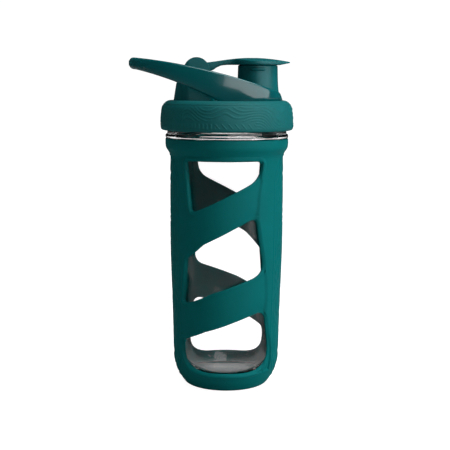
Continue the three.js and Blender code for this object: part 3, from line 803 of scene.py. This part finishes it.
grip_lines = softened(
    [
        (45.3, 185.95),
        (47.0, 186.3),
        (47.75, 187.6),
        (GRIP_RADIUS - EMBOSS, 190.2),
        (GRIP_RADIUS - EMBOSS, 194.5),
        (47.3, 198.8),
        (46.9, 201.7),
        (46.3, 203.4),
        (45.0, 205.4),
        (42.8, 207.0),
        (41.0, 207.3),
    ],
    3,
)
lengths = np.concatenate([[0], np.cumsum([math.dist(a, b) for a, b in zip(grip_lines, grip_lines[1:])])])
rows = np.linspace(0, lengths[-1], 72)
grip_outside = [tuple(p) for p in np.stack([np.interp(rows, lengths, c) for c in zip(*grip_lines)], axis=1)]
grip_inside = [(41.1, 206.7), (41.3, 204.75), (45.7, 204.75), (45.7, 186.0)]
grip_ring = turned("grip_ring", grip_outside + grip_inside + grip_outside[:1], 900, 60)


def emboss(angle, z):
    """How far the pattern stands out, from 0 to 1, at an angle round the ring and a height in millimetres. It
    comes three times round: contour lines about a low hill, and under them upright and then slanted ticks."""
    sector = (math.degrees(angle) + 150) % 120
    across = math.radians(sector) * GRIP_RADIUS
    hill = min(math.hypot(math.radians(sector - place) * GRIP_RADIUS, 0.9 * (z - 197)) for place in (112, -8))
    swell = noise.noise((math.cos(angle) * 2.6, math.sin(angle) * 2.6, z * 0.05 + 4))
    level = (3.4 * swell + 5.2 * math.exp(-((hill / 13) ** 2)) + 0.4 * z) % 1
    lines = smooth_step(1 - abs(level - 0.5) / 0.26)
    ticked = smooth_step(sector, 2, 4) * (1 - smooth_step(sector, 84, 86))
    field = smooth_step(z, 187.8 + 5.4 * ticked, 188.8 + 5.4 * ticked) * (1 - smooth_step(z, 203.6, 205.2))
    if sector < 50:
        tick = smooth_step(1 - abs((across / TICK_PITCH) % 1 - 0.5) / 0.24)
    else:
        tick = smooth_step(1 - abs(((across + 0.9 * (z - TICK_MIDDLE)) / SLANT_PITCH) % 1 - 0.5) / 0.15)
    row = smooth_step(z, 187.9, 188.4) * (1 - smooth_step(z, 191.4, 191.9))
    return max(lines * field, tick * row * ticked)


for vertex in grip_ring.data.vertices:
    radius = vertex.co.xy.length / MM
    if radius > 46.0:
        out = 1 + EMBOSS * emboss(math.atan2(vertex.co.y, vertex.co.x), vertex.co.z / MM) / radius
        vertex.co.x, vertex.co.y = vertex.co.x * out, vertex.co.y * out

# Matte polypropylene from a spark-eroded mould: an even, dry sheen with a fine grain.
matte_plastic = grained_plastic("matte teal polypropylene", "006567", 0.6, 0.7, 0.03, 0.2)
finish(grip_ring, matte_plastic, "lid", "lid_grip_ring")


# ---- Deck with spout and hinge tower -----------------------------------------------------------------------
# One satin moulding: a round deck, the drinking spout with a rolled lip and a snap bead on each side, and the
# hinge tower with two ears. The slot between the ears takes the flip cap's barrel, and the pin runs through.
HINGE_X, HINGE_Z = -21.6, 228.4
TOWER_HALF, TOWER_X = 12.3, -26.2  # half the tower's width, and the middle of its rounded back
EAR_RADIUS = 9.2
BORE_RADIUS = 1.75  # of the holes for the hinge pin
LYING = (90, 0, 0)  # turns a rod to lie along Y


def prism(name, outline, low, high, axis="Z"):
    """A closed outline added as a face and extruded along Z or Y between two levels."""
    flat = [(a, b, low) if axis == "Z" else (a, low, b) for a, b in outline]
    piece = alone(shaped(name, [[v * MM for v in p] for p in flat], [range(len(flat))]))
    bpy.ops.object.mode_set(mode="EDIT")
    bpy.ops.mesh.select_all(action="SELECT")
    way = (0, 0, 1) if axis == "Z" else (0, 1, 0)
    bpy.ops.mesh.extrude_region_move(TRANSFORM_OT_translate={"value": [v * (high - low) * MM for v in way]})
    bpy.ops.object.mode_set(mode="OBJECT")
    return facing_out(piece)


deck = rod("deck", 41.0, 1.8, (0, 0, 205.6), sides=160, edge=0.4)
spout = ringed(
    "spout",
    [
        (SPOUT_BORE, 205.0, 0),
        (17.0, 205.0, 0),
        (17.0, 206.52, 0),
        (16.0, 207.6, 0.8),
        (14.6, 217.5, 5),
        (14.2, 232.3, 1.1),
        (SPOUT_BORE, 232.3, 1.1),
    ],
    96,
)
spout = placed(spout, (SPOUT_X, 0, 0))
deck = merged(deck, rod("deck_hole", 13.0, 12, (SPOUT_X, 0, 205)), "DIFFERENCE")
deck = merged(deck, spout)

ear = arc(HINGE_X, HINGE_Z, EAR_RADIUS, 0, 152, 39)
tower = prism("tower", [(-38.6, 205.5), (-8.9, 205.5)] + ear + [(-36.2, 219)], -14, 14, "Y")
half_round = arc(TOWER_X, 0, TOWER_HALF, 90, 270, 47)
front = [(-20, -TOWER_HALF, 0), (-9, -TOWER_HALF, 4), (-9, TOWER_HALF, 4), (-20, TOWER_HALF, 0)]
plan = half_round + filleted(front, 8)
tower = merged(tower, prism("tower_plan", plan, 204, 245), "INTERSECT")
slot = filleted([(-6.6, 222, 1.5), (6.6, 222, 1.5), (6.6, 245, 0), (-6.6, 245, 0)], 5)
slot = prism("tower_slot", slot, -30, 30)
slot = placed(slot, (HINGE_X, 0, 0), (90, 0, 90))
tower = merged(tower, slot, "DIFFERENCE")
bevel = tower.modifiers.new("bevel", "BEVEL")
bevel.width, bevel.segments = 0.7 * MM, 3
bevel.limit_method, bevel.angle_limit = "ANGLE", math.radians(35)
bevel.use_clamp_overlap, bevel.miter_outer = True, "MITER_ARC"
alone(tower)
bpy.ops.object.modifier_apply(modifier="bevel")
bpy.ops.object.shade_smooth_by_angle(angle=math.radians(SMOOTH_ANGLE))
tower = merged(tower, rod("pin_bore", BORE_RADIUS, 40, (HINGE_X, 0, HINGE_Z), LYING, 40), "DIFFERENCE")
deck = merged(deck, tower)
finish(deck, satin_plastic, "lid", "spout_deck")

# The snap beads lie on the spout's two flanks: short ridges with round ends, bent to the spout's own curve.
BEAD_RADIUS, BEAD_STRETCH, BEAD_Z = 1.15, 4.1, 229.3
BEAD_BEND, BEAD_MIDDLE = 14.25, 14.15  # the radius they are bent to, and where their middles lie

for name, side in (("snap_bead_back", 1), ("snap_bead_front", -1)):
    bpy.ops.object.select_all(action="DESELECT")
    bpy.ops.mesh.primitive_uv_sphere_add(segments=32, ring_count=16, radius=BEAD_RADIUS * MM)
    bead = bpy.context.object
    bead.name = bead.data.name = name
    for vertex in bead.data.vertices:
        across, stand, up = (v / MM for v in vertex.co)
        across += BEAD_STRETCH * max(-1, min(1, across / 0.1))
        angle, radius = across / BEAD_BEND, BEAD_MIDDLE + stand
        flat_x, flat_y = radius * math.sin(angle), side * radius * math.cos(angle)
        vertex.co = ((SPOUT_X + flat_x) * MM, flat_y * MM, (BEAD_Z + up) * MM)
    facing_out(bead)
    bpy.ops.object.shade_smooth()
    finish(bead, satin_plastic, "lid", "spout_deck")


# ---- Carry loop --------------------------------------------------------------------------------------------
# A glossy oval band, 4.8 mm thick, that runs round the spout and reaches out beyond the lid. It stands on the
# deck at the spout's end and rises towards the free tip. A rounded section is swept round its plan.
LOOP_WALL, LOOP_CROWN = 4.8, 0.3  # how thick the band is, and how far its outer face bulges
LOOP_X = 8  # the widest place
LOOP_LEFT, LOOP_RIGHT, LOOP_HALF = 78.4, 31.8, 27.0  # from there to each end, and half the width
LOOP_ROUNDNESS = 2.5  # 2 would be an ellipse
LOOP_STEPS = 520
SPOUT_ROOM = 16.3  # the inner face stays at least this far from the spout's axis


def bend(start, control, end, steps=24):
    """Points of a quadratic curve."""
    t = np.linspace(0, 1, steps)[:, None]
    return (1 - t) ** 2 * np.array(start) + 2 * t * (1 - t) * np.array(control) + t**2 * np.array(end)


turns = np.linspace(0, 2 * math.pi, LOOP_STEPS + 1)[:-1]
oval = 2 / LOOP_ROUNDNESS
reach = np.where(np.cos(turns) > 0, LOOP_RIGHT, LOOP_LEFT)
plan_x = LOOP_X + reach * np.sign(np.cos(turns)) * np.abs(np.cos(turns)) ** oval
plan_y = LOOP_HALF * np.sign(np.sin(turns)) * np.abs(np.sin(turns)) ** oval
plan_line = np.stack([plan_x, plan_y], axis=1)
lengths = np.linalg.norm(np.diff(np.concatenate([plan_line, plan_line[:1]]), axis=0), axis=1)
walk = np.concatenate([[0], np.cumsum(lengths)])
even = np.linspace(0, walk[-1], LOOP_STEPS + 1)[:-1]
plan_line = np.stack([np.interp(even, walk, np.append(c, c[0])) for c in plan_line.T], axis=1)
along_plan = np.roll(plan_line, -1, axis=0) - np.roll(plan_line, 1, axis=0)
along_plan /= np.linalg.norm(along_plan, axis=1)[:, None]
outward = np.stack([along_plan[:, 1], -along_plan[:, 0]], axis=1)

# The heights of the band's top and underside along X.
top_curves = [
    [(-71, 237.7)],
    bend((-66, 237.3), (-13.1, 231.8), (36.5, 213.6), 60),
    bend((36.5, 213.6), (39.4, 211.6), (39.9, 206.9))[1:],
]
under_curves = [
    [(-71, 229.6)],
    bend((-64.6, 228.8), (-34.6, 221.8), (-6, 206.8), 60),
    [(-5, 206.3), (40, 206.3)],
]
loop_top, loop_under = np.concatenate(top_curves), np.concatenate(under_curves)


def band_section(outer_top, outer_foot):
    """(inset, share of the height, rise from there) round the section: four rounded corners and two faces."""
    points = []
    for middle, level, radius, start in (
        (LOOP_CROWN + outer_top, 1, outer_top, 180),
        (LOOP_WALL - 1.5, 1, 1.5, 90),
        (LOOP_WALL - 1.3, 0, 1.3, 0),
        (LOOP_CROWN + outer_foot, 0, outer_foot, -90),
    ):
        for turn in np.radians(np.linspace(start, start - 90, 8)):
            rise = radius * math.sin(turn) + (-radius if level else radius)
            points.append((middle + radius * math.cos(turn), level, rise))
    return points + [(LOOP_CROWN * (2 * t - 1) ** 2, t, 0) for t in (0.25, 0.4, 0.55, 0.7)]


loop_points = []
for (x, y), (out_x, out_y) in zip(plan_line, outward):
    tip = smooth_step(-x, 50, 70)
    for inset, level, rise in band_section(1.6 + 1.6 * tip, 1.6 + 1.4 * tip):
        px, py = x - out_x * inset - SPOUT_X, y - out_y * inset
        room = max(1, SPOUT_ROOM / math.hypot(px, py))
        px, py = px * room + SPOUT_X, py * room
        high = np.interp(px, loop_top[:, 0], loop_top[:, 1])
        low = np.interp(px, loop_under[:, 0], loop_under[:, 1])
        z = low + (high - low) * level + rise * min(1, (high - low) / 4.2)
        loop_points.append((px * MM, py * MM, z * MM))
around = len(plan_line)
count = len(loop_points) // around
loop_faces = []
for i in range(around):
    for k in range(count):
        corner, beside = i * count, (i + 1) % around * count
        following = (k + 1) % count
        loop_faces.append((corner + k, corner + following, beside + following, beside + k))
loop = facing_out(shaped("carry_band", loop_points, loop_faces))
bpy.ops.object.shade_smooth_by_angle(angle=math.radians(60))

# Gloss moulding: from a polished mould, so a clear mirror with only a slow unevenness in it.
gloss_plastic = grained_plastic("gloss teal copolyester", "00575b", 0.12, 6.0, 0.004, 0.4, 0.4)
finish(loop, gloss_plastic, "lid", "carry_loop")


# ---- Hinge pin ---------------------------------------------------------------------------------------------
# A plain drawn steel pin with domed ends, through both ears and the flip cap's barrel.
pin = rod("steel_pin", 1.5, 23.6, (HINGE_X, 0, HINGE_Z), LYING, 48, 0.5)

# Drawn steel: bright, with fine lines along the pin from the die.
steel, tree, output = new_material("drawn stainless steel")
position = add_node(tree, "ShaderNodeTexCoord").outputs["Object"]
stretch = add_node(tree, "ShaderNodeMapping", {"Scale": (1, 0.04, 1)}, {"Vector": position})
drawn = add_node(
    tree, "ShaderNodeTexNoise", {"Scale": 1 / (0.15 * MM), "Detail": 2.0}, {"Vector": stretch.outputs[0]}
)
scratch = add_node(
    tree, "ShaderNodeMapRange", {"To Min": 0.22, "To Max": 0.42}, {"Value": drawn.outputs["Fac"]}
)
steel_shader = add_node(
    tree,
    "ShaderNodeBsdfPrincipled",
    {"Base Color": linear("b9bcbd"), "Metallic": 1.0},
    {"Roughness": scratch.outputs[0]},
)
tree.links.new(steel_shader.outputs[0], output.inputs["Surface"])
finish(pin, steel, "lid", "hinge_pin")


# ---- Flip cap ----------------------------------------------------------------------------------------------
# A thin domed cap over the spout, with a thumb tab on one side and an arm to the hinge barrel on the other.
# Its plate is a flat triangle mesh of the plan, raised to the dome on top and to the underside's own curve.
CAP_RADIUS, CAP_EDGE = 17.0, 0.6  # the round part, and how far its edges are rounded over
CAP_TOP, CAP_SAG = 237.45, 2.4  # the highest point, and how much lower the two sides are
ARM_HALF = 5.5

tab = bend((45.1, 0), (45.1, 4.4), (42, 6.4), 10).tolist()
tab += bend((42, 6.4), (37.2, 10.4), (31.75, 13.93), 12)[1:].tolist()
disc = arc(SPOUT_X, 0, CAP_RADIUS, 55, 151, 41)[1:]
arm = bend(disc[-1], (5.7, ARM_HALF), (2.0, ARM_HALF), 8)[1:].tolist()
arm += [(x, ARM_HALF) for x in np.linspace(2.0, HINGE_X, 22)[1:]]
half = tab + disc + arm
cap_plan = np.array([(x, -y) for x, y in half[:0:-1]] + half)
cap_end = [(HINGE_X, y) for y in np.linspace(ARM_HALF, -ARM_HALF, 10)[1:-1]]
cap_plan = np.concatenate([cap_plan, cap_end])
plan_edges = (cap_plan, np.roll(cap_plan, -1, axis=0))

grid = hexagonal_grid((-23, -18), (46, 18), 0.9)
grid = grid[inside(grid, cap_plan)]
grid = grid[distance(grid, *plan_edges) > 1.3]
loops = [offset_outline(cap_plan, -inset) for inset in (0.08, 0.2, 0.4, 0.75)]
loose = np.concatenate([grid] + [loop_line[inside(loop_line, cap_plan)] for loop_line in loops])
flat, plate_faces, (rim_numbers,) = triangulated(
    [cap_plan], [], loose, lambda middles: inside(middles, cap_plan)
)

# The heights of the dome and of the underside, from the hinge to the tip of the tab.
dome_x = [-21.6, -15, -10.1, -0.8, 10, 22.8, 31.4, 38.6, 45.1]
dome_z = [234, 234, 234.8, 236.2, 237.1, 237.4, 236.9, 235.6, 234.7]
belly_x = [-21.6, -10, -7.6, -4.4, -0.1, 7.8, 37.9, 45.1]
belly_z = [225.4, 228.8, 230.6, 232, 232.45, 232.5, 232.5, 233.9]
dome = np.polyfit(dome_x, dome_z, 5)
fall = np.clip(distance(flat, *plan_edges) / CAP_EDGE, 0, 1)
fall = CAP_EDGE * (1 - np.sqrt(1 - (1 - fall) ** 2))
dome_height = np.minimum(np.polyval(dome, flat[:, 0]), CAP_TOP) - CAP_SAG * (flat[:, 1] / CAP_RADIUS) ** 2
belly_height = np.interp(flat[:, 0], belly_x, belly_z)
fall = np.minimum(fall, 0.4 * (dome_height - belly_height))
dome_height -= fall
belly_height += 0.6 * fall
plate_points = np.concatenate([np.column_stack([flat, z]) for z in (dome_height, belly_height)])
shift = len(flat)
plate_faces = plate_faces.tolist() + (plate_faces[:, ::-1] + shift).tolist()
for a, b in zip(rim_numbers, rim_numbers[1:] + rim_numbers[:1]):
    plate_faces.append((a, b, b + shift, a + shift))
flip = facing_out(shaped("flip_plate", (plate_points * MM).tolist(), plate_faces))
flip = merged(flip, rod("barrel", 5.8, 12.6, (HINGE_X, 0, HINGE_Z), LYING, 72, 0.7))
flip = merged(flip, rod("barrel_bore", BORE_RADIUS, 30, (HINGE_X, 0, HINGE_Z), LYING, 40), "DIFFERENCE")
finish(flip, satin_plastic, "spout_cover", "flip_cap")


# ---- Spout plug --------------------------------------------------------------------------------------------
# A soft clear plug under the flip cap: a disc with a tapered skirt that seals in the spout's bore.
plug_corners = [
    (0, 230.9, 0),
    (8.4, 230.9, 0.8),
    (8.4, 225.2, 0.6),
    (10.1, 225.2, 0.6),
    (10.9, 227.2, 0.6),
    (10.6, 232.5, 0.3),
    (0, 232.5, 0),
]
plug = placed(turned("plug_body", filleted(plug_corners, closed=False), 96), (SPOUT_X, 0, 0))
finish(plug, clear_silicone, "spout_cover", "spout_plug")
